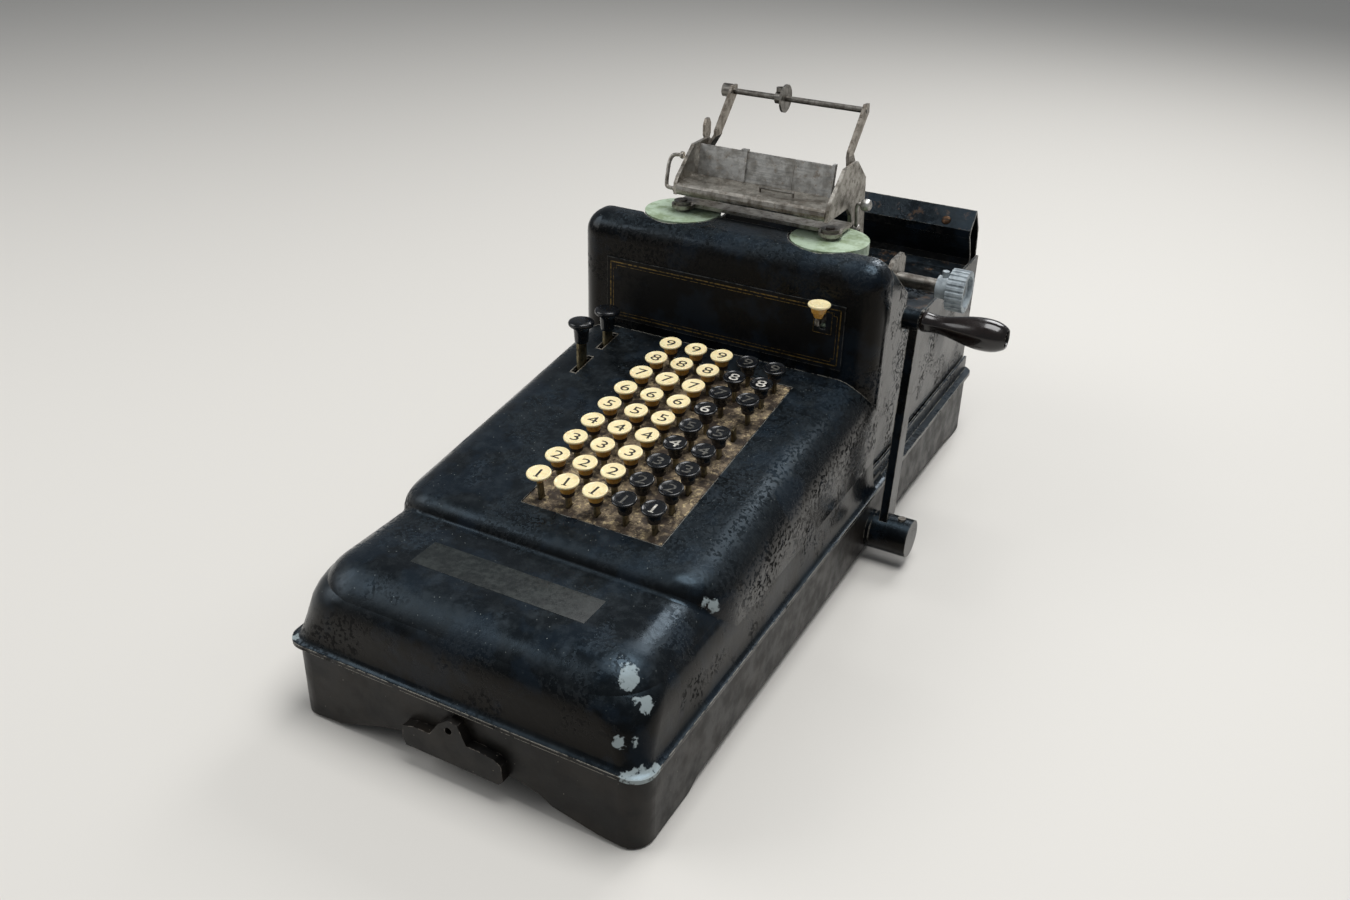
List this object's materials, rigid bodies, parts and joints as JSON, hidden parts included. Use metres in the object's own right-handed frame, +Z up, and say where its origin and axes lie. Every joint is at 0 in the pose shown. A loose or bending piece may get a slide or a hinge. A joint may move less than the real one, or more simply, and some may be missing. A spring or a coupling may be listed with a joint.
{
  "type": "adding machine",
  "caption": "Hand-cranked key-set adding machine with a sloping keyboard, ribbon spools, a printing carriage with paper roll arms, and a side crank.",
  "frame": {"origin": "on the table, under the middle of the whole machine with its crank", "axes": "+X to the operator's right, +Y to the rear, +Z up"},
  "size_m": [0.304, 0.565, 0.3005],
  "materials": {
    "black_japan": "gloss",
    "base_enamel": "satin",
    "black_crank": "satin",
    "rubber": "matte",
    "cream_cap": "gloss",
    "black_cap": "gloss",
    "brass_plate": "worn",
    "steel": "brushed",
    "tarnished_nickel": "tarnished",
    "grip_wood": "gloss",
    "green_enamel": "satin",
    "ribbon_cloth": "matte",
    "grey_knob": "matte"
  },
  "bodies": {
    "case": {"base_pan": "base_enamel", "carriage_plates": "tarnished_nickel", "carriage_rail": "steel", "crank_bush": "black_crank", "frame_plates": "steel", "frame_rods": "steel", "front_lug": "base_enamel", "key_guide_plate": "steel", "key_stop_strips": "steel", "keyboard_plate": "brass_plate", "main_cover": "black_japan", "nameplate": "black_japan", "paper_shelf": "tarnished_nickel", "paper_table": "tarnished_nickel", "rear_cover": "black_japan", "rear_side_panels": "black_japan", "ribbon": "ribbon_cloth", "roll_arms": "tarnished_nickel", "rubber_feet": "rubber", "spool_strap": "black_japan", "spool_tray": "steel", "wire_bail": "steel"},
    "crank": {"crank_shaft": "steel", "crank_arm": "black_crank", "crank_pin": "steel", "crank_spindle": "steel", "drive_sector": "steel"},
    "grip": {"crank_grip": "grip_wood"},
    "sectors": {"type_sectors": "steel"},
    "wheels": {"adding_wheels": "steel"},
    "platen": {"platen_shaft": "steel", "platen_roller": "rubber", "platen_knob": "grey_knob"},
    "left_spool": {"left_ribbon_spool": "green_enamel"},
    "right_spool": {"right_ribbon_spool": "green_enamel"},
    "roll_rod": {"roll_rod": "steel"},
    "roll_disc": {"roll_disc": "steel"},
    "release_lever": {"release_lever": "steel"},
    "finger_lever": {"finger_lever": "tarnished_nickel"},
    "total_key": {"total_key": "black_cap"},
    "subtotal_key": {"subtotal_key": "black_cap"},
    "error_key": {"error_key": "cream_cap"},
    "cream_key_1": {"cream_key_1": "cream_cap"},
    "cream_key_2": {"cream_key_2": "cream_cap"},
    "cream_key_3": {"cream_key_3": "cream_cap"},
    "cream_key_4": {"cream_key_4": "cream_cap"},
    "cream_key_5": {"cream_key_5": "cream_cap"},
    "cream_key_6": {"cream_key_6": "cream_cap"},
    "cream_key_7": {"cream_key_7": "cream_cap"},
    "cream_key_8": {"cream_key_8": "cream_cap"},
    "cream_key_9": {"cream_key_9": "cream_cap"},
    "black_key_1": {"black_key_1": "black_cap"},
    "black_key_2": {"black_key_2": "black_cap"},
    "black_key_3": {"black_key_3": "black_cap"},
    "black_key_4": {"black_key_4": "black_cap"},
    "black_key_5": {"black_key_5": "black_cap"},
    "black_key_6": {"black_key_6": "black_cap"},
    "black_key_7": {"black_key_7": "black_cap"},
    "black_key_8": {"black_key_8": "black_cap"},
    "black_key_9": {"black_key_9": "black_cap"}
  },
  "joints": [
    {"name": "crank_pull", "type": "hinge", "parent": "case", "child": "crank", "pos_m": [-0.034, 0.0515, 0.0205], "axis": [1, 0, 0], "range_deg": [0, 80], "stiffness_Nm_per_rad": 0.45, "springref_deg": -17.19},
    {"name": "grip_spin", "type": "hinge", "parent": "crank", "child": "grip", "pos_m": [0.116, 0.0655, 0.177], "axis": [1, 0, 0], "continuous": true},
    {"name": "sector_swing", "type": "hinge", "parent": "case", "child": "sectors", "pos_m": [-0.0298, 0.0555, 0.14], "axis": [1, 0, 0], "range_deg": [0, 28.5]},
    {"name": "wheel_spin", "type": "hinge", "parent": "case", "child": "wheels", "pos_m": [-0.0298, 0.0505, 0.072], "axis": [1, 0, 0], "continuous": true},
    {"name": "platen_turn", "type": "hinge", "parent": "case", "child": "platen", "pos_m": [-0.0298, 0.1205, 0.181], "axis": [1, 0, 0], "continuous": true},
    {"name": "left_spool_spin", "type": "hinge", "parent": "case", "child": "left_spool", "pos_m": [-0.0848, 0.0695, 0.19], "axis": [0, 0, 1], "continuous": true},
    {"name": "right_spool_spin", "type": "hinge", "parent": "case", "child": "right_spool", "pos_m": [0.0252, 0.0695, 0.19], "axis": [0, 0, 1], "continuous": true},
    {"name": "roll_rod_spin", "type": "hinge", "parent": "case", "child": "roll_rod", "pos_m": [-0.0298, 0.1265, 0.291], "axis": [1, 0, 0], "continuous": true},
    {"name": "roll_disc_slide", "type": "slide", "parent": "roll_rod", "child": "roll_disc", "axis": [1, 0, 0], "range_m": [-0.03, 0.045]},
    {"name": "release_swing", "type": "hinge", "parent": "case", "child": "release_lever", "pos_m": [0.029, 0.1085, 0.214], "axis": [1, 0, 0], "range_deg": [-12, 12]},
    {"name": "finger_swing", "type": "hinge", "parent": "case", "child": "finger_lever", "pos_m": [-0.089, 0.1165, 0.244], "axis": [1, 0, 0], "range_deg": [-20, 20]},
    {"name": "total_key_press", "type": "slide", "parent": "case", "child": "total_key", "axis": [0, 0, -1], "range_m": [0, 0.008], "stiffness_N_per_m": 150, "springref_m": -0.004},
    {"name": "subtotal_key_press", "type": "slide", "parent": "case", "child": "subtotal_key", "axis": [0, 0, -1], "range_m": [0, 0.008], "stiffness_N_per_m": 150, "springref_m": -0.004},
    {"name": "error_key_press", "type": "slide", "parent": "case", "child": "error_key", "axis": [0, 0, -1], "range_m": [0, 0.005], "stiffness_N_per_m": 100, "springref_m": -0.003},
    {"name": "cream_key_1_press", "type": "slide", "parent": "case", "child": "cream_key_1", "axis": [0, 0.1283, -0.9917], "range_m": [0, 0.0045], "stiffness_N_per_m": 150, "springref_m": -0.004},
    {"name": "cream_key_2_press", "type": "slide", "parent": "case", "child": "cream_key_2", "axis": [0, 0.1283, -0.9917], "range_m": [0, 0.0045], "stiffness_N_per_m": 150, "springref_m": -0.004},
    {"name": "cream_key_3_press", "type": "slide", "parent": "case", "child": "cream_key_3", "axis": [0, 0.1283, -0.9917], "range_m": [0, 0.0045], "stiffness_N_per_m": 150, "springref_m": -0.004},
    {"name": "cream_key_4_press", "type": "slide", "parent": "case", "child": "cream_key_4", "axis": [0, 0.1283, -0.9917], "range_m": [0, 0.0045], "stiffness_N_per_m": 150, "springref_m": -0.004},
    {"name": "cream_key_5_press", "type": "slide", "parent": "case", "child": "cream_key_5", "axis": [0, 0.1283, -0.9917], "range_m": [0, 0.0045], "stiffness_N_per_m": 150, "springref_m": -0.004},
    {"name": "cream_key_6_press", "type": "slide", "parent": "case", "child": "cream_key_6", "axis": [0, 0.1283, -0.9917], "range_m": [0, 0.0045], "stiffness_N_per_m": 150, "springref_m": -0.004},
    {"name": "cream_key_7_press", "type": "slide", "parent": "case", "child": "cream_key_7", "axis": [0, 0.1283, -0.9917], "range_m": [0, 0.0045], "stiffness_N_per_m": 150, "springref_m": -0.004},
    {"name": "cream_key_8_press", "type": "slide", "parent": "case", "child": "cream_key_8", "axis": [0, 0.1283, -0.9917], "range_m": [0, 0.0045], "stiffness_N_per_m": 150, "springref_m": -0.004},
    {"name": "cream_key_9_press", "type": "slide", "parent": "case", "child": "cream_key_9", "axis": [0, 0.1283, -0.9917], "range_m": [0, 0.0045], "stiffness_N_per_m": 150, "springref_m": -0.004},
    {"name": "black_key_1_press", "type": "slide", "parent": "case", "child": "black_key_1", "axis": [0, 0.1283, -0.9917], "range_m": [0, 0.0045], "stiffness_N_per_m": 150, "springref_m": -0.004},
    {"name": "black_key_2_press", "type": "slide", "parent": "case", "child": "black_key_2", "axis": [0, 0.1283, -0.9917], "range_m": [0, 0.0045], "stiffness_N_per_m": 150, "springref_m": -0.004},
    {"name": "black_key_3_press", "type": "slide", "parent": "case", "child": "black_key_3", "axis": [0, 0.1283, -0.9917], "range_m": [0, 0.0045], "stiffness_N_per_m": 150, "springref_m": -0.004},
    {"name": "black_key_4_press", "type": "slide", "parent": "case", "child": "black_key_4", "axis": [0, 0.1283, -0.9917], "range_m": [0, 0.0045], "stiffness_N_per_m": 150, "springref_m": -0.004},
    {"name": "black_key_5_press", "type": "slide", "parent": "case", "child": "black_key_5", "axis": [0, 0.1283, -0.9917], "range_m": [0, 0.0045], "stiffness_N_per_m": 150, "springref_m": -0.004},
    {"name": "black_key_6_press", "type": "slide", "parent": "case", "child": "black_key_6", "axis": [0, 0.1283, -0.9917], "range_m": [0, 0.0045], "stiffness_N_per_m": 150, "springref_m": -0.004},
    {"name": "black_key_7_press", "type": "slide", "parent": "case", "child": "black_key_7", "axis": [0, 0.1283, -0.9917], "range_m": [0, 0.0045], "stiffness_N_per_m": 150, "springref_m": -0.004},
    {"name": "black_key_8_press", "type": "slide", "parent": "case", "child": "black_key_8", "axis": [0, 0.1283, -0.9917], "range_m": [0, 0.0045], "stiffness_N_per_m": 150, "springref_m": -0.004},
    {"name": "black_key_9_press", "type": "slide", "parent": "case", "child": "black_key_9", "axis": [0, 0.1283, -0.9917], "range_m": [0, 0.0045], "stiffness_N_per_m": 150, "springref_m": -0.004}
  ],
  "couplings": [
    {"joint": "sector_swing", "follows": "crank_pull", "ratio": 0.35}
  ]
}
